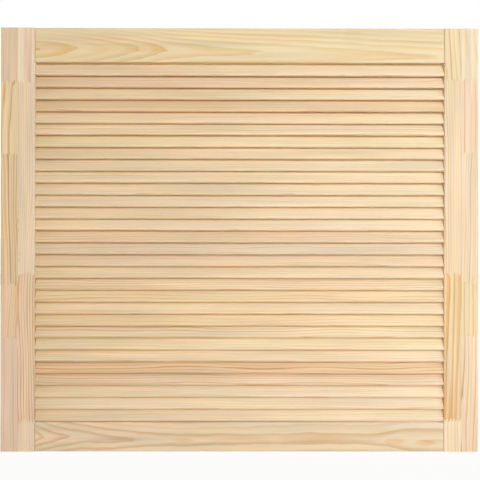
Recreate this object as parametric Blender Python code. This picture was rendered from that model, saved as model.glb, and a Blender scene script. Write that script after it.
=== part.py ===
"""Louvred pine cabinet door leaf.

Two stiles, two rails, a stack of sloping slats and the dowels that hold the rails to the stiles.
Metres, +Z up. The origin is at the middle of the bottom edge, and the front faces -Y.
The slats sit in angled housings in the stiles, and the first one also enters a groove in the top rail.
"""

import math

import bmesh
import bpy
from mathutils import Matrix, Vector

# Door frame
DOOR_WIDTH = 0.444
DOOR_HEIGHT = 0.3935
STILE_WIDTH = 0.0318
STILE_THICKNESS = 0.020
STILE_EASE = 0.0008
TOP_RAIL_HEIGHT = 0.0318
BOTTOM_RAIL_HEIGHT = 0.0271
RAIL_THICKNESS = 0.019
RAIL_EASE = 0.0005

# Slats: half-round edges, tilt from upright, set back from the front of the stiles. The drop is from
# the top rail to the low edge of the first slat, and the gap is left under the last one.
SLAT_WIDTH = 0.0175
SLAT_THICKNESS = 0.0035
SLAT_EDGE_FLAT = 0.0001
SLAT_TILT = math.radians(30.0)
SLAT_SETBACK = 0.0010
SLAT_SPACING = 0.0111
FIRST_SLAT_DROP = 0.0121
LAST_SLAT_GAP = 0.0004
HOUSING_DEPTH = 0.0080

# Dowels
DOWEL_DIAMETER = 0.006
DOWEL_LENGTH = 0.030
DOWEL_CHAMFER = 0.0008
DOWEL_EDGE_DISTANCE = 0.0065

# Fits
FIT_GAP = 0.0003

# Facets
EASE_SEGMENTS = 2
SLAT_EDGE_SEGMENTS = 4
DOWEL_SIDES = 20
SMOOTH_ANGLE = math.radians(35.0)

# Colours, linear, and roughness of the bare wood
FRAME_COLOUR = (0.76, 0.56, 0.35)
SLAT_COLOUR = (0.72, 0.51, 0.31)
DOWEL_COLOUR = (0.60, 0.40, 0.24)
SLAT_TONE_SWING = 0.05
PINE_ROUGHNESS = 0.55
DOWEL_ROUGHNESS = 0.60

# Worked out from the sizes above
OPENING_WIDTH = DOOR_WIDTH - 2 * STILE_WIDTH
OPENING_BOTTOM = BOTTOM_RAIL_HEIGHT
OPENING_TOP = DOOR_HEIGHT - TOP_RAIL_HEIGHT
FIRST_LOW_EDGE = OPENING_TOP - FIRST_SLAT_DROP
LAST_LOW_EDGE = OPENING_BOTTOM + LAST_SLAT_GAP
SLAT_COUNT = 1 + max(1, round((FIRST_LOW_EDGE - LAST_LOW_EDGE) / SLAT_SPACING))
SLAT_STEP = (FIRST_LOW_EDGE - LAST_LOW_EDGE) / (SLAT_COUNT - 1)
SLAT_LENGTH = OPENING_WIDTH + 2 * (HOUSING_DEPTH - FIT_GAP)
SLAT_EDGE_RADIUS = (SLAT_THICKNESS - SLAT_EDGE_FLAT) / 2
SLAT_HEIGHT = (SLAT_WIDTH - SLAT_THICKNESS) * math.cos(SLAT_TILT) + SLAT_THICKNESS
SLAT_DEPTH = (SLAT_WIDTH - SLAT_THICKNESS) * math.sin(SLAT_TILT) + SLAT_THICKNESS


def clear_scene():
    for old in list(bpy.data.objects):
        bpy.data.objects.remove(old, do_unlink=True)


def make_material(name, colour, roughness):
    material = bpy.data.materials.new(name)
    material.use_nodes = True
    shader = material.node_tree.nodes["Principled BSDF"]
    shader.inputs["Base Color"].default_value = (*colour, 1.0)
    shader.inputs["Roughness"].default_value = roughness
    shader.inputs["Metallic"].default_value = 0.0
    return material


def add_bar(shape, size, along, radius, segments, place):
    """Adds a straight bar to a mesh in work: a box with its four long edges rounded, at its place.

    Along is the letter of the axis that the long edges follow.
    """
    length = getattr(Vector(size), along)
    corners = bmesh.ops.create_cube(shape, size=1.0)["verts"]
    bmesh.ops.scale(shape, vec=size, verts=corners)
    new_corners = set(corners)
    long_edges = []
    for edge in shape.edges:
        start, end = edge.verts
        if start in new_corners and abs(getattr(start.co - end.co, along)) > length / 2:
            long_edges.append(edge)
    bmesh.ops.transform(shape, matrix=place, verts=corners)
    bmesh.ops.bevel(
        shape, geom=long_edges, offset=radius, segments=segments, profile=0.5, affect="EDGES"
    )


def add_cylinder(shape, diameter, length, place):
    """Adds a cylinder along X to a mesh in work."""
    lie_along_x = Matrix.Rotation(math.radians(90.0), 4, "Y")
    bmesh.ops.create_cone(
        shape,
        cap_ends=True,
        segments=DOWEL_SIDES,
        radius1=diameter / 2,
        radius2=diameter / 2,
        depth=length,
        matrix=place @ lie_along_x,
    )


def finish_mesh(shape, name):
    mesh = bpy.data.meshes.new(name)
    shape.to_mesh(mesh)
    shape.free()
    return mesh


def smooth_round_faces(mesh):
    mesh.shade_smooth()
    mesh.set_sharp_from_angle(angle=SMOOTH_ANGLE)


def add_object(name, mesh, parent, location=(0.0, 0.0, 0.0), tilt=0.0):
    piece = bpy.data.objects.new(name, mesh)
    bpy.context.scene.collection.objects.link(piece)
    piece.parent = parent
    piece.location = location
    piece.rotation_euler = (tilt, 0.0, 0.0)
    return piece


def make_frame_bar(name, size, along, ease, parent, location):
    """A stile or a rail: a plain stick of pine with its long edges eased."""
    shape = bmesh.new()
    add_bar(shape, size, along, ease, EASE_SEGMENTS, Matrix())
    mesh = finish_mesh(shape, name)
    mesh.materials.append(make_material(f"pine_{name}", FRAME_COLOUR, PINE_ROUGHNESS))
    return add_object(name, mesh, parent, location)


def make_cutter(name, shape, parent):
    cutter = add_object(name, finish_mesh(shape, name), parent)
    cutter.hide_render = True
    cutter.display_type = "WIRE"
    return cutter


def cut(piece, cutter):
    """Cuts with the manifold solver: the exact one loses a facet of a housing in a long row of cuts."""
    modifier = piece.modifiers.new(cutter.name, "BOOLEAN")
    modifier.operation = "DIFFERENCE"
    modifier.solver = "MANIFOLD"
    modifier.object = cutter


def slat_centres():
    """Centres of the slats, from the top down."""
    back = SLAT_SETBACK + SLAT_DEPTH / 2 - STILE_THICKNESS / 2
    first = FIRST_LOW_EDGE + SLAT_HEIGHT / 2
    return [(0.0, back, first - SLAT_STEP * index) for index in range(SLAT_COUNT)]


def dowel_places():
    """Name and centre of each dowel: two in the solid height of each rail, at both of its ends."""
    top_groove = FIRST_LOW_EDGE + SLAT_HEIGHT + FIT_GAP
    bottom_groove = LAST_LOW_EDGE - FIT_GAP
    heights = {
        "top_1": DOOR_HEIGHT - DOWEL_EDGE_DISTANCE,
        "top_2": max(OPENING_TOP, top_groove) + DOWEL_EDGE_DISTANCE,
        "bottom_1": min(OPENING_BOTTOM, bottom_groove) - DOWEL_EDGE_DISTANCE,
        "bottom_2": DOWEL_EDGE_DISTANCE,
    }
    sides = {"left": -OPENING_WIDTH / 2, "right": OPENING_WIDTH / 2}
    return {
        f"dowel_{side}_{level}": (across, 0.0, height)
        for side, across in sides.items()
        for level, height in heights.items()
    }


def make_housing_cutter(parent):
    """All the slats, each grown by the fit gap, which cut the housings and the rail groove."""
    grown = (
        SLAT_LENGTH + 2 * FIT_GAP,
        SLAT_THICKNESS + 2 * FIT_GAP,
        SLAT_WIDTH + 2 * FIT_GAP,
    )
    shape = bmesh.new()
    for centre in slat_centres():
        place = Matrix.Translation(centre) @ Matrix.Rotation(-SLAT_TILT, 4, "X")
        add_bar(shape, grown, "x", SLAT_EDGE_RADIUS + FIT_GAP, SLAT_EDGE_SEGMENTS, place)
    return make_cutter("slat_housings", shape, parent)


def make_bore_cutter(parent):
    """All the dowel bores, each running from a rail into its stile."""
    shape = bmesh.new()
    for centre in dowel_places().values():
        place = Matrix.Translation(centre)
        add_cylinder(shape, DOWEL_DIAMETER + 2 * FIT_GAP, DOWEL_LENGTH + 2 * FIT_GAP, place)
    return make_cutter("dowel_bores", shape, parent)


def make_stiles(parent, cutters):
    size = (STILE_WIDTH, STILE_THICKNESS, DOOR_HEIGHT)
    for side, direction in (("left", -1), ("right", 1)):
        centre = (direction * (OPENING_WIDTH + STILE_WIDTH) / 2, 0.0, DOOR_HEIGHT / 2)
        stile = make_frame_bar(f"stile_{side}", size, "z", STILE_EASE, parent, centre)
        for cutter in cutters:
            cut(stile, cutter)


def make_rails(parent, cutters):
    length = OPENING_WIDTH - 2 * FIT_GAP
    rails = {
        "rail_top": (TOP_RAIL_HEIGHT, DOOR_HEIGHT - TOP_RAIL_HEIGHT / 2),
        "rail_bottom": (BOTTOM_RAIL_HEIGHT, BOTTOM_RAIL_HEIGHT / 2),
    }
    for name, (height, middle) in rails.items():
        size = (length, RAIL_THICKNESS, height)
        rail = make_frame_bar(name, size, "x", RAIL_EASE, parent, (0.0, 0.0, middle))
        for cutter in cutters:
            cut(rail, cutter)


def make_slats(parent):
    """The slats, leaning back from their low front edge, each in a slightly different tone."""
    size = (SLAT_LENGTH, SLAT_THICKNESS, SLAT_WIDTH)
    for number, centre in enumerate(slat_centres(), start=1):
        name = f"slat_{number:02d}"
        shape = bmesh.new()
        add_bar(shape, size, "x", SLAT_EDGE_RADIUS, SLAT_EDGE_SEGMENTS, Matrix())
        mesh = finish_mesh(shape, name)
        smooth_round_faces(mesh)
        tone = 1.0 + SLAT_TONE_SWING * math.sin(number * number)
        colour = [channel * tone for channel in SLAT_COLOUR]
        mesh.materials.append(make_material(f"pine_{name}", colour, PINE_ROUGHNESS))
        add_object(name, mesh, parent, centre, -SLAT_TILT)


def make_dowels(parent):
    """Plain round dowels with chamfered ends."""
    for name, centre in dowel_places().items():
        shape = bmesh.new()
        add_cylinder(shape, DOWEL_DIAMETER, DOWEL_LENGTH, Matrix())
        rims = []
        for edge in shape.edges:
            start, end = edge.verts
            if abs(start.co.x - end.co.x) < DOWEL_LENGTH / 2:
                rims.append(edge)
        bmesh.ops.bevel(
            shape, geom=rims, offset=DOWEL_CHAMFER, segments=1, profile=0.5, affect="EDGES"
        )
        mesh = finish_mesh(shape, name)
        mesh.materials.append(make_material(f"beech_{name}", DOWEL_COLOUR, DOWEL_ROUGHNESS))
        smooth_round_faces(mesh)
        add_object(name, mesh, parent, centre)


def main():
    clear_scene()
    door = add_object("louvred_door", None, None)
    cutters = [make_housing_cutter(door), make_bore_cutter(door)]
    make_stiles(door, cutters)
    make_rails(door, cutters)
    make_slats(door)
    make_dowels(door)


main()
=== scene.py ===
"""Looks of the louvred door: raw pine on every piece, smooth slats, soft studio light and the view.

The stiles, rails and dowels keep their CAD meshes and get new materials. Each slat is modelled again
with a smooth round edge and set a little loose in its housing. Shader places are in millimetres.
"""

import math
import random
from collections import namedtuple

import bpy
from mathutils import Euler, Matrix, Vector


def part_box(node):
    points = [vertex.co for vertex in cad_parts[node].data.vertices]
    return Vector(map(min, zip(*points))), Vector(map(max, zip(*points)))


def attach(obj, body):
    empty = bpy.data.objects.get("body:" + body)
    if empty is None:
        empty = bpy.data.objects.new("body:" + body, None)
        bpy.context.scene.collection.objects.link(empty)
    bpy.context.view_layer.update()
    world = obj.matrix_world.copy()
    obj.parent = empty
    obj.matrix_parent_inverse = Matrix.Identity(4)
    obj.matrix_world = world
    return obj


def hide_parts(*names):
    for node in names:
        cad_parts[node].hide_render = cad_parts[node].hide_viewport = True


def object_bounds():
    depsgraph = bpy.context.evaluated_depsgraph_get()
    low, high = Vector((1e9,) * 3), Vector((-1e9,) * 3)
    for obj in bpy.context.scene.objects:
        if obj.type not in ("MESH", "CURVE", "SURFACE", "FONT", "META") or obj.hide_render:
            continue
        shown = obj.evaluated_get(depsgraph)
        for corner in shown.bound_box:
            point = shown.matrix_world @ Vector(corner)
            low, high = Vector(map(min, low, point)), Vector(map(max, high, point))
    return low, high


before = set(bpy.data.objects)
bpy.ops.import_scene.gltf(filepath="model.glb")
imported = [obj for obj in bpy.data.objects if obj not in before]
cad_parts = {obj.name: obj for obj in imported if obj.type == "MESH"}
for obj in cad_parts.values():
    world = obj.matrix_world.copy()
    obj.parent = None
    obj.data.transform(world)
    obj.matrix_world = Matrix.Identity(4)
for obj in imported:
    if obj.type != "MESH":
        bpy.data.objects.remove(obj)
cad_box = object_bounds()

BODY = "root"
MILLIMETRE = 0.001

# Slats: what the frame doesn't give, and how loosely each one sits in its housing
SLAT_THICKNESS = 0.0035
SLAT_EDGE_FLAT = 0.0001
SLAT_EDGE_SEGMENTS = 7
SLAT_END_EASE = 0.0003
SLAT_SHIFT = 0.00010
SLAT_TURN = math.radians(0.35)
SLAT_BOW = 0.00018
SLAT_BOW_WAVES = (1, 2, 3)
SLAT_LENGTH_CUTS = 15
SLAT_SMOOTH_ANGLE = math.radians(40.0)
END_EDGE_SHARE = 0.98
LOOSENESS_SEED = 4

# Wood tones, linear: the pale early wood and the darker late wood of each growth ring
Tone = namedtuple("Tone", "early late")
TONES = {
    "cream": Tone((0.79, 0.62, 0.41), (0.70, 0.50, 0.295)),
    "lemon": Tone((0.80, 0.635, 0.40), (0.72, 0.52, 0.28)),
    "straw": Tone((0.785, 0.605, 0.393), (0.68, 0.475, 0.265)),
    "honey": Tone((0.78, 0.587, 0.357), (0.69, 0.45, 0.215)),
    "rose": Tone((0.762, 0.567, 0.369), (0.66, 0.435, 0.26)),
    "blush": Tone((0.785, 0.60, 0.41), (0.69, 0.455, 0.29)),
    "ash": Tone((0.735, 0.577, 0.397), (0.64, 0.475, 0.31)),
    "flame": Tone((0.82, 0.648, 0.402), (0.775, 0.55, 0.27)),
    "arch": Tone((0.845, 0.665, 0.445), (0.715, 0.49, 0.29)),
    "petal": Tone((0.815, 0.63, 0.452), (0.71, 0.50, 0.34)),
    "shell": Tone((0.785, 0.64, 0.470), (0.70, 0.495, 0.360)),
    "barley": Tone((0.81, 0.645, 0.43), (0.64, 0.41, 0.205)),
    "linen": Tone((0.80, 0.65, 0.46), (0.75, 0.53, 0.27)),
    "peach": Tone((0.755, 0.545, 0.335), (0.65, 0.41, 0.22)),
    "copper": Tone((0.745, 0.515, 0.305), (0.61, 0.335, 0.15)),
    "wheat": Tone((0.81, 0.64, 0.385), (0.64, 0.405, 0.18)),
    "coral": Tone((0.81, 0.625, 0.433), (0.66, 0.395, 0.215)),
    "resin": Tone((0.79, 0.61, 0.37), (0.53, 0.325, 0.15)),
    "orange": Tone((0.84, 0.635, 0.385), (0.78, 0.44, 0.165)),
}

# Unevenness of wood, as noise: the size of its blots in millimetres along and across the grain, its
# detail, and how far it swings to either side. Level and hue swing as a share, rings by their count,
# and what wanders by millimetres. A flame has its own wander.
Noise = namedtuple("Noise", "along across detail swing", defaults=(0.0,))
FIBRE = Noise(26.0, 0.30, 3.0, 0.07)
STREAK = Noise(150.0, 1.6, 2.0, 0.09)
CLOUD = Noise(120.0, 9.0, 1.0, 0.17)
RED_DRIFT = Noise(75.0, 4.5, 2.0, 0.12)
BLUE_DRIFT = Noise(90.0, 3.5, 2.0, 0.19)
RING_UNEVENNESS = Noise(45.0, 3.0, 2.0, 0.16)
RING_CROWDING = Noise(260.0, 7.0, 2.0, 0.7)
GRAIN_WANDER = Noise(130.0, 40.0, 1.0, 5.0)
STAIN_WANDER = Noise(14.0, 4.0, 2.0, 1.2)
FLAME_WANDER = Noise(30.0, 30.0, 2.0)
FLECK = Noise(5.0, 0.45, 1.0)

# Growth rings: how strong one may be, the share of a ring over which its late wood comes up, where its
# thin dark line comes up, where both begin to fall, and the line's tint
RING_STRENGTH = (0.30, 1.20)
BLOOM_SHARE = 0.42
LINE_RISE = (0.78, 0.92)
RING_FALL = 0.93
LINE_TINT = (0.91, 0.85, 0.79)

# Short resin flecks: the part of their noise that shows, and how dark it gets
FLECK_RISE = (0.70, 0.80)
FLECK_SHADE = 0.82

# Surface: the roughness of early and late wood and its swing with the fibres, how far fibres and late
# wood stand up, and the bump that they make
EARLY_ROUGHNESS = 0.62
LATE_ROUGHNESS = 0.50
FIBRE_ROUGHNESS = 0.05
FIBRE_RELIEF = 0.6
LATE_RELIEF = 0.5
BUMP_STRENGTH = 0.25
BUMP_DISTANCE = 0.00012
SPECULAR_LEVEL = 0.35

# Each piece and block has a seed. It moves the patterns by so many millimetres, times the seed, and
# the drifts of red and blue are moved once and twice more.
PATTERN_STEP = 37.0
GRAIN_STEP = 53.0
DRIFT_SHIFT = (311.0, 127.0, 59.0)

# Resin stains: soft long ovals, by their middle and size in millimetres along and across the grain.
# They are full up to a share of their size.
Stain = namedtuple("Stain", "along across length width strength")
STAIN_TINT = (0.88, 0.66, 0.40)
STAIN_CORE = 0.5

# The slats' tones, from the top down, and those with clear lines. Then the lines: their strength, how
# many millimetres they are apart, and the most that they lean along a slat and turn through it.
SLAT_TONES = (
    "cream", "rose", "straw", "peach", "straw", "cream", "lemon", "straw", "cream", "cream",
    "cream", "cream", "straw", "cream", "rose", "ash", "rose", "straw", "straw", "honey",
    "straw", "honey", "straw", "lemon", "straw", "copper", "rose", "cream", "cream", "straw",
)
LINED_SLATS = {6, 15, 16, 19, 23, 26, 27}
PLAIN_LINES = 0.60
CLEAR_LINES = 1.10
PLAIN_SPACING = (1.5, 3.4)
CLEAR_SPACING = (2.0, 2.8)
SLAT_LEAN = 0.006
SLAT_RING_TURN = 0.6
SLAT_BLOOM = 0.45
SLAT_SEED_START = 20

# Stiles: two strips each, glued up from finger-jointed blocks. A block starts at a height in
# millimetres above the bottom edge, and a level makes its tone lighter or darker. Its lines are so many
# millimetres apart, and going up they lean to one side and bend. They have a strength, and the late
# wood comes up from the bloom's share of a ring on. The inner strip is on the slats' side: 1 is right.
Block = namedtuple("Block", "start tone level spacing lean bend lines bloom")
# A stile's tint is painted shade: it darkens its wood and shifts its hue where the lamps light the
# frame more than the slats, most of all on the right stile, where the key lamp is brightest.
Stile = namedtuple("Stile", "inner_side seed tint outer inner stains")
STILES = {
    "stile_left": Stile(
        inner_side=1.0,
        seed=31.0,
        tint=(0.972, 0.960, 0.987),
        outer=(
            Block(0.0, "petal", 0.96, 2.1, 0.004, 0.0, 1.00, 0.50),
            Block(105.6, "rose", 1.07, 2.4, -0.055, 0.0, 1.10, 0.50),
            Block(154.8, "resin", 0.97, 2.8, 0.055, -0.0002, 1.15, 0.40),
            Block(275.5, "wheat", 1.00, 8.0, 0.0, -0.0009, 1.30, 0.50),
            Block(343.3, "blush", 0.97, 6.0, 0.010, 0.0, 0.35, 0.40),
        ),
        inner=(
            Block(0.0, "linen", 1.04, 2.6, 0.0, 0.0, 0.50, 0.50),
            Block(28.5, "coral", 0.99, 2.7, 0.072, -0.0004, 1.40, 0.48),
            Block(165.0, "linen", 1.02, 1.9, 0.004, 0.0, 0.90, 0.50),
            Block(343.3, "shell", 1.08, 13.0, 0.0, 0.0, 0.80, 0.40),
        ),
        stains=(
            Stain(136.0, -1.0, 80.0, 5.0, 0.30),
            Stain(375.0, 14.8, 90.0, 3.0, 0.25),
            Stain(177.5, 1.4, 5.0, 1.2, 0.90),
            Stain(183.6, 1.4, 4.0, 1.0, 0.70),
            Stain(206.0, 0.6, 6.0, 1.0, 0.60),
            Stain(214.0, 0.4, 7.0, 1.0, 0.70),
            Stain(221.7, 0.5, 5.0, 1.0, 0.60),
        ),
    ),
    "stile_right": Stile(
        inner_side=-1.0,
        seed=47.0,
        # Painted shade: the right stile's tint is darker than the left's, against the key lamp's
        # brighter light on this side.
        tint=(0.886, 0.861, 0.846),
        outer=(
            Block(0.0, "coral", 1.03, 3.8, -0.030, 0.0, 1.30, 0.52),
            Block(108.5, "wheat", 1.00, 3.8, -0.010, 0.0, 1.25, 0.52),
            Block(157.1, "barley", 0.975, 2.7, -0.012, 0.0, 0.95, 0.50),
            Block(277.4, "blush", 0.985, 4.5, 0.006, 0.0, 1.00, 0.50),
            Block(345.4, "linen", 1.00, 9.0, 0.060, 0.0006, 0.50, 0.60),
        ),
        inner=(
            Block(0.0, "linen", 1.14, 3.2, 0.0, 0.0, 1.00, 0.50),
            Block(29.7, "orange", 0.97, 5.0, -0.100, 0.0005, 1.60, 0.30),
            Block(165.0, "straw", 1.01, 2.6, 0.008, 0.0, 1.30, 0.55),
            Block(345.4, "wheat", 0.93, 5.5, 0.050, 0.0, 1.00, 0.50),
        ),
        stains=(
            Stain(312.0, 12.3, 95.0, 8.0, 0.20),
            Stain(155.0, 10.5, 30.0, 2.5, 0.35),
        ),
    ),
}
STILE_RING_TURN = 0.35
INNER_SEED_STEP = 7.0
FINGER_PITCH = 3.2
FINGER_LENGTH = 3.4
GLUE_LINE = 0.16
GLUE_SHADE = 0.90

# Rails: flame figure around a core. At shares of the rail's length, one curve counts the growth rings
# along the core and the other gives the core's height in millimetres from the rail's middle. The core
# lies so many millimetres deep behind the face. The rings' spacing goes from its first value to its
# second along the rail, and below the core it is so many times wider. Up to the calm's share of the
# length, the lines high above the core are faint. Edge is the strength of the rings' thin dark lines,
# and the two end levels give the rail's level at its left and right ends: painted shade, darker towards
# the right, where the key lamp is brightest.
RING_LIMIT = 10.0
CORE_LIMIT = 20.0
SPACING_RISE = (0.3, 0.75)
CALM_HEIGHT = (9.0, 12.0)
CALM_END = (-0.05, 0.1)
CALM_LINES = 0.25
Flame = namedtuple(
    "Flame",
    "tone seed rings heights depth spacing below wander calm lines bloom edge fade stains",
)
FLAMES = {
    "rail_top": Flame(
        tone="flame",
        seed=2.0,
        rings=(
            (0.00, 0.95), (0.01, 1.0), (0.104, 2.0), (0.18, 3.0), (0.258, 4.0), (0.324, 5.0),
            (0.566, 6.0), (0.879, 6.8), (1.00, 7.0),
        ),
        heights=((0.0, -3.3), (0.33, -3.8), (0.57, -6.6), (0.88, -9.5), (1.0, -10.5)),
        depth=7.4,
        spacing=(3.1, 4.2),
        below=1.5,
        wander=0.8,
        calm=0.30,
        lines=1.0,
        bloom=0.30,
        edge=0.60,
        fade=(1.0, 0.915),
        stains=(
            Stain(2.0, -4.0, 7.0, 4.5, 0.80),
            Stain(18.0, -3.5, 46.0, 12.0, 0.22),
            Stain(72.0, -3.5, 60.0, 13.0, 0.18),
            Stain(102.0, -3.5, 52.0, 9.0, 0.28),
            Stain(296.0, 8.0, 26.0, 18.0, 0.14),
        ),
    ),
    "rail_bottom": Flame(
        tone="arch",
        seed=28.0,
        rings=(
            (0.00, 1.3), (0.024, 2.0), (0.089, 3.0), (0.2555, 4.0), (0.31, 4.25), (0.49, 4.50),
            (0.66, 4.58), (0.84, 4.50), (0.88, 4.25), (0.915, 4.05), (1.00, 3.90),
        ),
        heights=((0.0, 0.8), (0.09, 0.0), (0.26, -2.4), (0.5, -2.0), (0.65, -1.4), (1.0, -3.2)),
        depth=3.7,
        spacing=(5.1, 7.5),
        below=1.0,
        wander=2.2,
        calm=0.0,
        lines=1.0,
        bloom=0.40,
        edge=0.35,
        fade=(0.985, 0.918),
        stains=(
            Stain(86.0, -2.5, 40.0, 7.0, 0.22),
            Stain(138.0, -3.0, 24.0, 5.0, 0.45),
            Stain(190.0, -3.0, 70.0, 9.0, 0.24),
            Stain(256.0, -1.5, 75.0, 11.0, 0.32),
            Stain(334.0, -4.0, 24.0, 8.0, 0.42),
            Stain(363.0, -5.3, 26.0, 6.5, 0.45),
        ),
    ),
}
# Painted shade: the rails' wood is made darker, as the lamps light the flat frame more than the tilted
# slats.
RAIL_PAINTED_SHADE = 0.93

# Dowels: pale beech with short darker flecks
BEECH_PALE = (0.560, 0.360, 0.205)
BEECH_DARK = (0.450, 0.265, 0.135)
BEECH_FLECK = Noise(2.5, 0.35, 1.0)
BEECH_FLECK_RISE = (0.52, 0.66)
BEECH_FIBRE = Noise(20.0, 0.4, 3.0, 0.1)
BEECH_ROUGHNESS = (0.50, 0.62)

# View: the camera's distance from the door's front, and how wide the door is in the frame.
# The camera looks a little to the right, so the left side of the door is slightly larger.
IMAGE_SIDE = 480
DOOR_PIXELS = 478.1
DOOR_CENTRE_PIXEL = (239.7, 239.9)
CAMERA_DISTANCE = 0.57
CAMERA_YAW = math.radians(0.18)
CAMERA_ROLL = math.radians(-0.08)
SENSOR_WIDTH = 36.0

# Light: square soft boxes, each by its angle to the right and up from the front, its distance and side
# in metres, its power and its colour. The key aims so far to the right and its beam is narrow, so the
# right side is lighter and cooler than the left, and the warm fill evens out the front. A low lamp far
# to the left throws the left stile's shadow on the slats. The lamps behind and above light what the
# view doesn't show, and the sky and the floor add a little warm light from all around.
Lamp = namedtuple("Lamp", "angle distance side power colour aim beam", defaults=(0.0, math.pi))
LAMPS = {
    "key": Lamp((14.0, 13.2), 1.6, 0.8, 4.5, (0.915, 1.0, 1.20), aim=0.5, beam=math.radians(90.0)),
    "fill": Lamp((5.0, 13.2), 1.6, 0.8, 4.7, (1.10, 1.0, 0.57)),
    "left": Lamp((-77.0, 4.0), 1.5, 0.35, 4.8, (1.0, 1.0, 1.40)),
    "right": Lamp((52.0, 14.0), 1.1, 0.6, 3.1, (0.66, 1.0, 1.26)),
    "back": Lamp((155.0, 3.0), 1.6, 0.5, 14.0, (1.04, 1.0, 0.92)),
    "top": Lamp((180.0, 68.0), 1.3, 0.5, 3.5, (1.12, 1.0, 0.80)),
}
SKY_STRENGTH = 0.14
SKY_COLOUR = (1.38, 1.0, 0.50)
WHITE = (1.0, 1.0, 1.0)
FLOOR_SIDE = 6.0
FLOOR_COLOUR = (0.72, 0.62, 0.48)
FLOOR_ROUGHNESS = 0.9
FLOOR_WHITENESS = 0.95


# Node helpers


def put(tree, value, socket):
    """Feeds a socket: from another node's output, or with a plain value."""
    if isinstance(value, bpy.types.NodeSocket):
        tree.links.new(value, socket)
    else:
        socket.default_value = value


def calc(tree, operation, *values):
    node = tree.nodes.new("ShaderNodeMath")
    node.operation = operation
    for value, socket in zip(values, node.inputs):
        put(tree, value, socket)
    return node.outputs["Value"]


def calc_vector(tree, operation, first, second):
    node = tree.nodes.new("ShaderNodeVectorMath")
    node.operation = operation
    put(tree, first, node.inputs[0])
    put(tree, second, node.inputs[1])
    return node.outputs["Vector"]


def diagonal(tree, first, second):
    """The length across the corner from two lengths at right angles."""
    squares = [calc(tree, "POWER", side, 2.0) for side in (first, second)]
    return calc(tree, "SQRT", calc(tree, "ADD", *squares))


def split(tree, vector):
    node = tree.nodes.new("ShaderNodeSeparateXYZ")
    put(tree, vector, node.inputs["Vector"])
    return node.outputs["X"], node.outputs["Y"], node.outputs["Z"]


def join(tree, x, y, z):
    node = tree.nodes.new("ShaderNodeCombineXYZ")
    for value, socket in zip((x, y, z), node.inputs):
        put(tree, value, socket)
    return node.outputs["Vector"]


def ease(tree, value, low, high):
    """0 below low, 1 above high, with a smooth rise between."""
    node = tree.nodes.new("ShaderNodeMapRange")
    node.interpolation_type = "SMOOTHSTEP"
    put(tree, value, node.inputs["Value"])
    put(tree, low, node.inputs["From Min"])
    put(tree, high, node.inputs["From Max"])
    return node.outputs["Result"]


def spread(tree, value, low, high):
    """Maps 0 to 1 onto low to high."""
    node = tree.nodes.new("ShaderNodeMapRange")
    put(tree, value, node.inputs["Value"])
    put(tree, low, node.inputs["To Min"])
    put(tree, high, node.inputs["To Max"])
    return node.outputs["Result"]


def mix(tree, kind, share, first, second):
    """Mixes two values of one kind: FLOAT, VECTOR or RGBA."""
    node = tree.nodes.new("ShaderNodeMix")
    node.data_type = kind
    inputs = [socket for socket in node.inputs if socket.enabled]
    outputs = [socket for socket in node.outputs if socket.enabled]
    for value, socket in zip((share, first, second), inputs):
        put(tree, value, socket)
    return outputs[0]


def shade(tree, colour, factor):
    """Makes a colour lighter or darker by a factor."""
    return calc_vector(tree, "MULTIPLY", colour, join(tree, factor, factor, factor))


def dye(tree, colour, share, tint):
    """Multiplies a colour by a tint, as far as a share from 0 to 1 says."""
    return calc_vector(tree, "MULTIPLY", colour, mix(tree, "VECTOR", share, WHITE, tint))


def noise(tree, place, kind):
    """Noise from 0 to 1 with blots of its kind's size."""
    node = tree.nodes.new("ShaderNodeTexNoise")
    stretched = calc_vector(tree, "DIVIDE", place, (kind.along, kind.across, kind.across))
    put(tree, stretched, node.inputs["Vector"])
    node.inputs["Scale"].default_value = 1.0
    node.inputs["Detail"].default_value = kind.detail
    return node.outputs["Fac"]


def swing(tree, value, middle, reach):
    """Maps 0 to 1 onto a reach to either side of a middle."""
    return spread(tree, value, middle - reach, middle + reach)


def drift(tree, place, kind, middle=1.0):
    """Noise that swings to either side of a middle, as far as its kind says."""
    return swing(tree, noise(tree, place, kind), middle, kind.swing)


def moved(tree, place, seed, step):
    """A place moved in all directions by a step times the seed, so that patterns differ."""
    way = calc(tree, "MULTIPLY", seed, step)
    return calc_vector(tree, "ADD", place, join(tree, way, way, way))


def random_value(tree, number):
    node = tree.nodes.new("ShaderNodeTexWhiteNoise")
    node.noise_dimensions = "1D"
    put(tree, number, node.inputs["W"])
    return node.outputs["Value"]


def curve(tree, value, points, limit):
    """A smooth curve through points, whose heights may go from minus the limit to the limit."""
    node = tree.nodes.new("ShaderNodeFloatCurve")
    spots = node.mapping.curves[0].points
    while len(spots) < len(points):
        spots.new(0.5, 0.5)
    for spot, (position, height) in zip(spots, points):
        spot.location = (position, 0.5 + 0.5 * height / limit)
    node.mapping.update()
    put(tree, value, node.inputs["Value"])
    return calc(tree, "MULTIPLY_ADD", node.outputs["Value"], 2 * limit, -limit)


def new_group(name, inputs, outputs):
    """A node group with its own sockets: returns the group, its inputs' outputs and its results."""
    group = bpy.data.node_groups.new(name, "ShaderNodeTree")
    for label, kind in inputs.items():
        group.interface.new_socket(label, in_out="INPUT", socket_type=f"NodeSocket{kind}")
    for label, kind in outputs.items():
        group.interface.new_socket(label, in_out="OUTPUT", socket_type=f"NodeSocket{kind}")
    entry = group.nodes.new("NodeGroupInput")
    result = group.nodes.new("NodeGroupOutput")
    return group, entry.outputs, result.inputs


def use_group(tree, group, values):
    node = tree.nodes.new("ShaderNodeGroup")
    node.node_tree = group
    for label, value in values.items():
        put(tree, value, node.inputs[label])
    return node.outputs


def tinted(colour, share=1.0):
    """A colour for a shader socket, made lighter or darker by a share."""
    return (*(channel * share for channel in colour), 1.0)


# Pine


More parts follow.
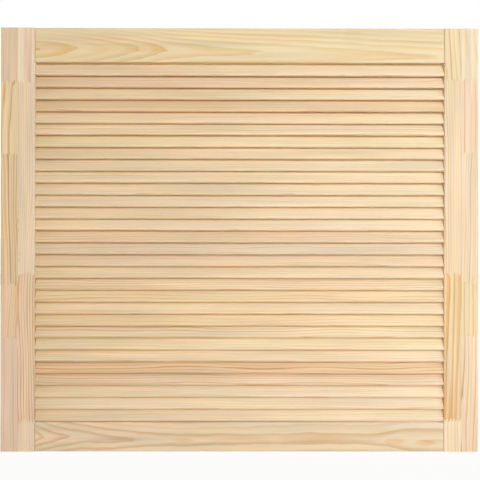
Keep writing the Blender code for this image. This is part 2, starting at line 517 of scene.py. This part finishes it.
def make_pine_group():
    """Pine from its growth rings: colour, roughness and surface height.

    In each ring the late wood's tone grows from the bloom's share of the ring to a thin dark line.
    """
    group, given, result = new_group(
        "pine",
        {
            "Place": "Vector",
            "Rings": "Float",
            "Early": "Color",
            "Late": "Color",
            "Lines": "Float",
            "Edge": "Float",
            "Bloom": "Float",
            "Stain": "Float",
            "Seed": "Float",
        },
        {"Colour": "Color", "Roughness": "Float", "Height": "Float"},
    )
    place = moved(group, given["Place"], given["Seed"], PATTERN_STEP)
    rings = calc(group, "ADD", given["Rings"], drift(group, place, RING_UNEVENNESS, 0.0))
    share = calc(group, "FRACT", rings)
    ring_number = calc(group, "ADD", calc(group, "FLOOR", rings), given["Seed"])
    ring_strength = spread(group, random_value(group, ring_number), *RING_STRENGTH)
    strength = calc(group, "MULTIPLY", ring_strength, given["Lines"])
    fall = calc(group, "SUBTRACT", 1.0, ease(group, share, RING_FALL, 1.0))
    full_bloom = calc(group, "ADD", given["Bloom"], BLOOM_SHARE)
    bloom = calc(group, "MULTIPLY", ease(group, share, given["Bloom"], full_bloom), fall)
    line = calc(group, "MULTIPLY", ease(group, share, *LINE_RISE), fall)
    late = calc(group, "MULTIPLY", bloom, strength)
    colour = mix(group, "RGBA", late, given["Early"], given["Late"])
    dark = calc(group, "MULTIPLY", calc(group, "MULTIPLY", line, strength), given["Edge"])
    colour = dye(group, colour, dark, LINE_TINT)
    colour = dye(group, colour, given["Stain"], STAIN_TINT)

    # Fibres, streaks and clouds of tone, then pink and yellow drifts
    fibre = noise(group, place, FIBRE)
    level = calc(group, "MULTIPLY", swing(group, fibre, 1.0, FIBRE.swing), drift(group, place, STREAK))
    level = calc(group, "MULTIPLY", level, drift(group, place, CLOUD))
    red_place = calc_vector(group, "ADD", place, DRIFT_SHIFT)
    blue_place = calc_vector(group, "ADD", red_place, DRIFT_SHIFT)
    red = drift(group, red_place, RED_DRIFT)
    blue = drift(group, blue_place, BLUE_DRIFT)
    colour = calc_vector(group, "MULTIPLY", colour, join(group, red, 1.0, blue))
    colour = shade(group, colour, level)

    # Short resin flecks
    fleck = ease(group, noise(group, place, FLECK), *FLECK_RISE)
    colour = shade(group, colour, spread(group, fleck, 1.0, FLECK_SHADE))

    # Surface
    ring_roughness = spread(group, late, EARLY_ROUGHNESS, LATE_ROUGHNESS)
    roughness = calc(group, "ADD", ring_roughness, swing(group, fibre, 0.0, FIBRE_ROUGHNESS))
    late_height = calc(group, "MULTIPLY", late, LATE_RELIEF)
    height = calc(group, "MULTIPLY_ADD", fibre, FIBRE_RELIEF, late_height)
    put(group, colour, result["Colour"])
    put(group, roughness, result["Roughness"])
    put(group, height, result["Height"])
    return group


def make_straight_grain_group():
    """Growth rings of a straight-grained stick, as a count that rises across it."""
    group, given, result = new_group(
        "straight_grain",
        {
            "Place": "Vector",
            "Spacing": "Float",
            "Lean": "Float",
            "Bend": "Float",
            "Turn": "Float",
            "Seed": "Float",
        },
        {"Rings": "Float"},
    )
    along, across, depth = split(group, given["Place"])
    pattern_place = moved(group, given["Place"], given["Seed"], GRAIN_STEP)
    wander = drift(group, pattern_place, GRAIN_WANDER, 0.0)
    steepness = calc(group, "MULTIPLY_ADD", along, given["Bend"], given["Lean"])
    leaning = calc(group, "MULTIPLY_ADD", along, steepness, across)
    turned = calc(group, "MULTIPLY_ADD", depth, given["Turn"], leaning)
    distance = calc(group, "ADD", turned, wander)
    crowding = drift(group, pattern_place, RING_CROWDING, 0.0)
    rings = calc(group, "ADD", calc(group, "DIVIDE", distance, given["Spacing"]), crowding)
    put(group, calc(group, "ADD", rings, given["Seed"]), result["Rings"])
    return group


PINE = make_pine_group()
STRAIGHT_GRAIN = make_straight_grain_group()


def new_material(name):
    material = bpy.data.materials.new(name)
    material.use_nodes = True
    shader = material.node_tree.nodes["Principled BSDF"]
    shader.inputs["Metallic"].default_value = 0.0
    shader.inputs["Specular IOR Level"].default_value = SPECULAR_LEVEL
    return material, material.node_tree, shader


def add_bump(tree, shader, height):
    """Gives the surface the wood's fine relief."""
    bump = tree.nodes.new("ShaderNodeBump")
    bump.inputs["Strength"].default_value = BUMP_STRENGTH
    bump.inputs["Distance"].default_value = BUMP_DISTANCE
    tree.links.new(height, bump.inputs["Height"])
    tree.links.new(bump.outputs["Normal"], shader.inputs["Normal"])


def board_place(tree, origin, turn):
    """Millimetres in a board's own directions, from its origin."""
    coordinates = tree.nodes.new("ShaderNodeTexCoord")
    mapping = tree.nodes.new("ShaderNodeMapping")
    mapping.vector_type = "TEXTURE"
    mapping.inputs["Location"].default_value = origin
    mapping.inputs["Rotation"].default_value = turn
    mapping.inputs["Scale"].default_value = (MILLIMETRE, MILLIMETRE, MILLIMETRE)
    tree.links.new(coordinates.outputs["Object"], mapping.inputs["Vector"])
    return mapping.outputs["Vector"]


def resin(tree, along, across, stains):
    """How deep the resin's stain is at a place: the strongest of some ovals with uneven rims."""
    place = join(tree, along, across, 0.0)
    height = calc(tree, "ADD", across, drift(tree, place, STAIN_WANDER, 0.0))
    deepest = 0.0
    for stain in stains:
        away = calc(tree, "DIVIDE", calc(tree, "SUBTRACT", along, stain.along), stain.length / 2)
        aside = calc(tree, "DIVIDE", calc(tree, "SUBTRACT", height, stain.across), stain.width / 2)
        fading = calc(tree, "SUBTRACT", 1.0, ease(tree, diagonal(tree, away, aside), STAIN_CORE, 1.0))
        deepest = calc(tree, "MAXIMUM", deepest, calc(tree, "MULTIPLY", fading, stain.strength))
    return deepest


def finish_pine(tree, shader, values, level=1.0):
    """Wires the pine group to the shader, made lighter or darker by a level, with a fine bump."""
    pine = use_group(tree, PINE, values)
    colour = shade(tree, pine["Colour"], level)
    add_bump(tree, shader, pine["Height"])
    tree.links.new(pine["Roughness"], shader.inputs["Roughness"])
    tree.links.new(colour, shader.inputs["Base Color"])


# Rails


def flame_rings(tree, place, flame, length):
    """Growth rings cut at a low angle: arches around a core that runs along the rail.

    Returns the ring count and the strength of the lines.
    """
    along, across, depth = split(tree, place)
    share = calc(tree, "DIVIDE", along, length)
    core_rings = curve(tree, share, flame.rings, RING_LIMIT)
    core_height = curve(tree, share, flame.heights, CORE_LIMIT)
    wander = swing(tree, noise(tree, place, FLAME_WANDER), 0.0, flame.wander)
    off_core = calc(tree, "SUBTRACT", across, calc(tree, "ADD", core_height, wander))
    core_depth = calc(tree, "ADD", depth, flame.depth)
    distance = calc(tree, "SUBTRACT", diagonal(tree, off_core, core_depth), flame.depth)
    below = calc(tree, "LESS_THAN", off_core, 0.0)
    spacing = spread(tree, ease(tree, share, *SPACING_RISE), *flame.spacing)
    spacing = calc(tree, "MULTIPLY", spacing, spread(tree, below, 1.0, flame.below))
    rings = calc(tree, "ADD", core_rings, calc(tree, "DIVIDE", distance, spacing))
    high_up = ease(tree, off_core, *CALM_HEIGHT)
    calm_end = (flame.calm + offset for offset in CALM_END)
    early_part = calc(tree, "SUBTRACT", 1.0, ease(tree, share, *calm_end))
    calm = calc(tree, "MULTIPLY", high_up, early_part)
    return rings, spread(tree, calm, flame.lines, CALM_LINES * flame.lines)


def dress_rail(name, flame):
    low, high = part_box(name)
    material, tree, shader = new_material(f"pine_{name}")
    origin = Vector((low.x, low.y, (low.z + high.z) / 2))
    along, depth, up = split(tree, board_place(tree, origin, (0.0, 0.0, 0.0)))
    place = join(tree, along, up, depth)
    length = (high.x - low.x) / MILLIMETRE
    rings, lines = flame_rings(tree, place, flame, length)
    tone = TONES[flame.tone]
    values = {
        "Place": place,
        "Rings": rings,
        # The rails' tones carry painted shade.
        "Early": tinted(tone.early, RAIL_PAINTED_SHADE),
        "Late": tinted(tone.late, RAIL_PAINTED_SHADE),
        "Lines": lines,
        "Edge": flame.edge,
        "Bloom": flame.bloom,
        "Stain": resin(tree, along, up, flame.stains),
        "Seed": flame.seed,
    }
    share = calc(tree, "DIVIDE", along, length)
    # The end levels are painted shade, darker towards the rail's right end.
    finish_pine(tree, shader, values, spread(tree, share, *flame.fade))
    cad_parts[name].material_slots[0].material = material


# Stiles


def block_tones(block, tint):
    """The colours of a block's early and late wood, darkened by a stile's tint, which is painted shade.
    """
    tone = TONES[block.tone]
    colours = ([part * tinge for part, tinge in zip(colour, tint)] for colour in tone)
    return [tinted(colour, block.level) for colour in colours]


def choose_block(tree, height, blocks, tint):
    """The look of the block at a height: its tones and lines, and where the glue of its joints is."""
    first = blocks[0]
    early, late = block_tones(first, tint)
    lines = (first.spacing, first.lean, first.bend)
    strength = (first.lines, first.bloom, 0.0)
    origin = (first.start, 1.0, 0.0)
    glue = 0.0
    for number, block in enumerate(blocks[1:], start=2):
        above = calc(tree, "GREATER_THAN", height, block.start)
        block_early, block_late = block_tones(block, tint)
        early = mix(tree, "RGBA", above, early, block_early)
        late = mix(tree, "RGBA", above, late, block_late)
        lines = mix(tree, "VECTOR", above, lines, (block.spacing, block.lean, block.bend))
        strength = mix(tree, "VECTOR", above, strength, (block.lines, block.bloom, 0.0))
        origin = mix(tree, "VECTOR", above, origin, (block.start, float(number), 0.0))
        glue = calc(tree, "MAXIMUM", glue, calc(tree, "COMPARE", height, block.start, GLUE_LINE))
    return early, late, lines, strength, origin, glue


def dress_stile(name, stile):
    low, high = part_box(name)
    material, tree, shader = new_material(f"pine_{name}")
    origin = Vector(((low.x + high.x) / 2, low.y, 0.0))
    across, depth, height = split(tree, board_place(tree, origin, (0.0, 0.0, 0.0)))
    inner = calc(tree, "GREATER_THAN", calc(tree, "MULTIPLY", across, stile.inner_side), 0.0)
    tooth = calc(tree, "PINGPONG", across, FINGER_PITCH / 2)
    tooth_root = calc(tree, "SUBTRACT", height, FINGER_LENGTH / 2)
    toothed = calc(tree, "MULTIPLY_ADD", tooth, 2 * FINGER_LENGTH / FINGER_PITCH, tooth_root)
    outer_look = choose_block(tree, toothed, stile.outer, stile.tint)
    inner_look = choose_block(tree, toothed, stile.inner, stile.tint)
    kinds = ("RGBA", "RGBA", "VECTOR", "VECTOR", "VECTOR", "FLOAT")
    look = [mix(tree, kind, inner, *pair) for kind, *pair in zip(kinds, outer_look, inner_look)]
    early, late, lines, strength, block_origin, joint_glue = look
    spacing, lean, bend = split(tree, lines)
    line_strength, bloom, _ = split(tree, strength)
    block_start, block_number, _ = split(tree, block_origin)
    block_seed = calc(tree, "MULTIPLY_ADD", inner, INNER_SEED_STEP, block_number)
    whole_seed = calc(tree, "ADD", block_seed, stile.seed)
    place = join(tree, calc(tree, "SUBTRACT", height, block_start), across, depth)
    grain = use_group(
        tree,
        STRAIGHT_GRAIN,
        {
            "Place": place,
            "Spacing": spacing,
            "Lean": lean,
            "Bend": bend,
            "Turn": STILE_RING_TURN,
            "Seed": whole_seed,
        },
    )
    glue = calc(tree, "MAXIMUM", joint_glue, calc(tree, "COMPARE", across, 0.0, GLUE_LINE))
    values = {
        "Place": place,
        "Rings": grain["Rings"],
        "Early": early,
        "Late": late,
        "Lines": line_strength,
        "Edge": 1.0,
        "Bloom": bloom,
        "Stain": resin(tree, height, across, stile.stains),
        "Seed": whole_seed,
    }
    finish_pine(tree, shader, values, spread(tree, glue, 1.0, GLUE_SHADE))
    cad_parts[name].material_slots[0].material = material


# Slats


def slat_shape():
    """Width and tilt of a slat, from the box of its CAD solid."""
    low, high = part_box("slat_01")
    deep = high.y - low.y - SLAT_THICKNESS
    tall = high.z - low.z - SLAT_THICKNESS
    return math.hypot(deep, tall) + SLAT_THICKNESS, math.atan2(deep, tall)


def select_edges(piece, wanted):
    """Selects the edges of a mesh in edit mode that a test picks."""
    bpy.ops.object.mode_set(mode="EDIT")
    bpy.ops.mesh.select_mode(type="EDGE")
    bpy.ops.mesh.select_all(action="DESELECT")
    bpy.ops.object.mode_set(mode="OBJECT")
    for edge in piece.data.edges:
        start, end = (piece.data.vertices[index].co for index in edge.vertices)
        edge.select = wanted(start, end)
    bpy.ops.object.mode_set(mode="EDIT")


def model_slat(length, width):
    """One upright slat at the origin: a bar with half-round long edges and eased ends."""

    def runs_along(start, end):
        return abs(start.x - end.x) > length / 2

    def at_an_end(start, end):
        return abs(start.x + end.x) > length * END_EDGE_SHARE

    bpy.ops.object.select_all(action="DESELECT")
    bpy.ops.mesh.primitive_cube_add(size=1.0, scale=(length, SLAT_THICKNESS, width))
    slat = bpy.context.object
    bpy.ops.object.transform_apply(location=False, rotation=False, scale=True)
    select_edges(slat, runs_along)
    round_edge = (SLAT_THICKNESS - SLAT_EDGE_FLAT) / 2
    bpy.ops.mesh.bevel(offset=round_edge, segments=SLAT_EDGE_SEGMENTS, affect="EDGES")
    bpy.ops.object.mode_set(mode="OBJECT")
    select_edges(slat, at_an_end)
    bpy.ops.mesh.bevel(offset=SLAT_END_EASE, segments=1, affect="EDGES")
    bpy.ops.object.mode_set(mode="OBJECT")
    select_edges(slat, runs_along)
    bpy.ops.mesh.subdivide(number_cuts=SLAT_LENGTH_CUTS)
    bpy.ops.object.mode_set(mode="OBJECT")
    bpy.ops.object.shade_smooth_by_angle(angle=SLAT_SMOOTH_ANGLE)
    return slat


def bow(mesh, length, chance):
    """Lets a slat bow a little between its ends, as thin wood does."""
    waves = [(number, chance.uniform(-1, 1), chance.uniform(-1, 1)) for number in SLAT_BOW_WAVES]
    for vertex in mesh.vertices:
        share = vertex.co.x / length + 0.5
        for number, flat, edgewise in waves:
            swing = SLAT_BOW * math.sin(number * math.pi * share) / number
            vertex.co.y += flat * swing
            vertex.co.z += edgewise * swing


def make_slat_material(number, origin, tilt):
    material, tree, shader = new_material(f"pine_slat_{number:02d}")
    along, depth, across = split(tree, board_place(tree, origin, (-tilt, 0.0, 0.0)))
    place = join(tree, along, across, depth)
    tone = TONES[SLAT_TONES[number - 1]]
    chance = random.Random(number)
    clear = number in LINED_SLATS
    seed = float(number + SLAT_SEED_START)
    grain = use_group(
        tree,
        STRAIGHT_GRAIN,
        {
            "Place": place,
            "Spacing": chance.uniform(*(CLEAR_SPACING if clear else PLAIN_SPACING)),
            "Lean": chance.uniform(-SLAT_LEAN, SLAT_LEAN),
            "Bend": 0.0,
            "Turn": chance.uniform(-SLAT_RING_TURN, SLAT_RING_TURN),
            "Seed": seed,
        },
    )
    values = {
        "Place": place,
        "Rings": grain["Rings"],
        "Early": tinted(tone.early),
        "Late": tinted(tone.late),
        "Lines": CLEAR_LINES if clear else PLAIN_LINES,
        "Edge": 1.0,
        "Bloom": SLAT_BLOOM,
        "Stain": 0.0,
        "Seed": seed,
    }
    finish_pine(tree, shader, values)
    return material


def make_slats():
    """Copies of one slat, each with its own mesh and wood, slightly bowed and loose in its housing."""
    low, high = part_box("slat_01")
    length = high.x - low.x
    width, tilt = slat_shape()
    pattern = model_slat(length, width)
    chance = random.Random(LOOSENESS_SEED)
    for number in range(1, len(SLAT_TONES) + 1):
        node = f"slat_{number:02d}"
        low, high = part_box(node)
        centre = (low + high) / 2
        loose = Vector((0.0, chance.uniform(-1, 1), chance.uniform(-1, 1))) * SLAT_SHIFT
        turn = chance.uniform(-1, 1) * SLAT_TURN - tilt
        slat = pattern.copy()
        slat.data = pattern.data.copy()
        slat.name = f"smooth_{node}"
        bow(slat.data, length, chance)
        slat.data.transform(Matrix.Translation(centre + loose) @ Matrix.Rotation(turn, 4, "X"))
        bpy.context.scene.collection.objects.link(slat)
        slat.data.materials.clear()
        slat.data.materials.append(make_slat_material(number, centre, tilt))
        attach(slat, BODY)
        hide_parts(node)
    bpy.data.objects.remove(pattern, do_unlink=True)


# Dowels


def dress_dowels():
    """Plain beech: fine flecks along the dowel, no clear rings."""
    material, tree, shader = new_material("beech_dowel")
    place = board_place(tree, (0.0, 0.0, 0.0), (0.0, 0.0, 0.0))
    fleck = ease(tree, noise(tree, place, BEECH_FLECK), *BEECH_FLECK_RISE)
    fibre = noise(tree, place, BEECH_FIBRE)
    colour = mix(tree, "RGBA", fleck, tinted(BEECH_PALE), tinted(BEECH_DARK))
    colour = shade(tree, colour, swing(tree, fibre, 1.0, BEECH_FIBRE.swing))
    tree.links.new(colour, shader.inputs["Base Color"])
    tree.links.new(spread(tree, fibre, *BEECH_ROUGHNESS), shader.inputs["Roughness"])
    add_bump(tree, shader, fibre)
    for name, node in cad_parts.items():
        if name.startswith("dowel_"):
            node.material_slots[0].material = material


# Stage


def add_lamp(name, lamp, target):
    """A soft box that faces the target, or a point so far to the right of it as its aim says."""
    sideways, upward = (math.radians(part) for part in lamp.angle)
    flat = math.cos(upward)
    direction = Vector((math.sin(sideways) * flat, -math.cos(sideways) * flat, math.sin(upward)))
    light = bpy.data.lights.new(name, "AREA")
    light.size = lamp.side
    light.energy = lamp.power
    light.color = lamp.colour
    light.spread = lamp.beam
    box = bpy.data.objects.new(name, light)
    box.location = target + direction * lamp.distance
    facing = Vector((lamp.aim, 0.0, 0.0)) - direction * lamp.distance
    box.rotation_euler = facing.to_track_quat("-Z", "Y").to_euler()
    bpy.context.scene.collection.objects.link(box)


def seen_directly(tree):
    """1 for rays that show the background itself, in the view, in gloss or through glass."""
    path = tree.nodes.new("ShaderNodeLightPath")
    seen = calc(tree, "MAXIMUM", path.outputs["Is Camera Ray"], path.outputs["Is Glossy Ray"])
    return calc(tree, "MAXIMUM", seen, path.outputs["Is Transmission Ray"])


def make_sky():
    """White to look at, and a softer, warmer white as light."""
    sky = bpy.data.worlds.new("studio")
    sky.use_nodes = True
    bpy.context.scene.world = sky
    tree = sky.node_tree
    background = tree.nodes["Background"]
    seen = seen_directly(tree)
    put(tree, mix(tree, "RGBA", seen, tinted(SKY_COLOUR), tinted(WHITE)), background.inputs["Color"])
    put(tree, mix(tree, "FLOAT", seen, SKY_STRENGTH, 1.0), background.inputs["Strength"])


def make_floor():
    """A pale floor that looks nearly white and keeps a faint shadow."""
    bpy.ops.object.select_all(action="DESELECT")
    bpy.ops.mesh.primitive_plane_add(size=FLOOR_SIDE)
    floor = bpy.context.object
    floor.name = "studio_floor"
    material, tree, shader = new_material("studio_floor")
    shader.inputs["Base Color"].default_value = tinted(FLOOR_COLOUR)
    shader.inputs["Roughness"].default_value = FLOOR_ROUGHNESS
    white = tree.nodes.new("ShaderNodeEmission")
    white.inputs["Color"].default_value = tinted(WHITE)
    blend = tree.nodes.new("ShaderNodeMixShader")
    put(tree, calc(tree, "MULTIPLY", seen_directly(tree), FLOOR_WHITENESS), blend.inputs["Fac"])
    tree.links.new(shader.outputs["BSDF"], blend.inputs[1])
    tree.links.new(white.outputs["Emission"], blend.inputs[2])
    tree.links.new(blend.outputs["Shader"], tree.nodes["Material Output"].inputs["Surface"])
    floor.data.materials.append(material)


def make_camera(low, high):
    """Almost straight at the door from the front, with the door at its own width in the frame."""
    camera = bpy.data.cameras.new("view")
    camera.sensor_width = SENSOR_WIDTH
    frame_width = (high.x - low.x) * IMAGE_SIDE / DOOR_PIXELS
    camera.lens = SENSOR_WIDTH * CAMERA_DISTANCE / frame_width
    pixel_shift = (IMAGE_SIDE / 2 - DOOR_CENTRE_PIXEL[0], DOOR_CENTRE_PIXEL[1] - IMAGE_SIDE / 2)
    yaw_shift = math.tan(CAMERA_YAW) * camera.lens / SENSOR_WIDTH
    camera.shift_x = pixel_shift[0] / IMAGE_SIDE - yaw_shift
    camera.shift_y = pixel_shift[1] / IMAGE_SIDE
    eye = bpy.data.objects.new("view", camera)
    eye.location = ((low.x + high.x) / 2, low.y - CAMERA_DISTANCE, (low.z + high.z) / 2)
    eye.rotation_euler = Euler((math.radians(90.0), CAMERA_ROLL, -CAMERA_YAW))
    bpy.context.scene.collection.objects.link(eye)
    bpy.context.scene.camera = eye


def main():
    bpy.context.scene.view_settings.view_transform = "Standard"
    low, high = (Vector(corner) for corner in cad_box)
    for name, flame in FLAMES.items():
        dress_rail(name, flame)
    for name, stile in STILES.items():
        dress_stile(name, stile)
    make_slats()
    dress_dowels()
    for name, lamp in LAMPS.items():
        add_lamp(name, lamp, (low + high) / 2)
    make_sky()
    make_floor()
    make_camera(low, high)


main()
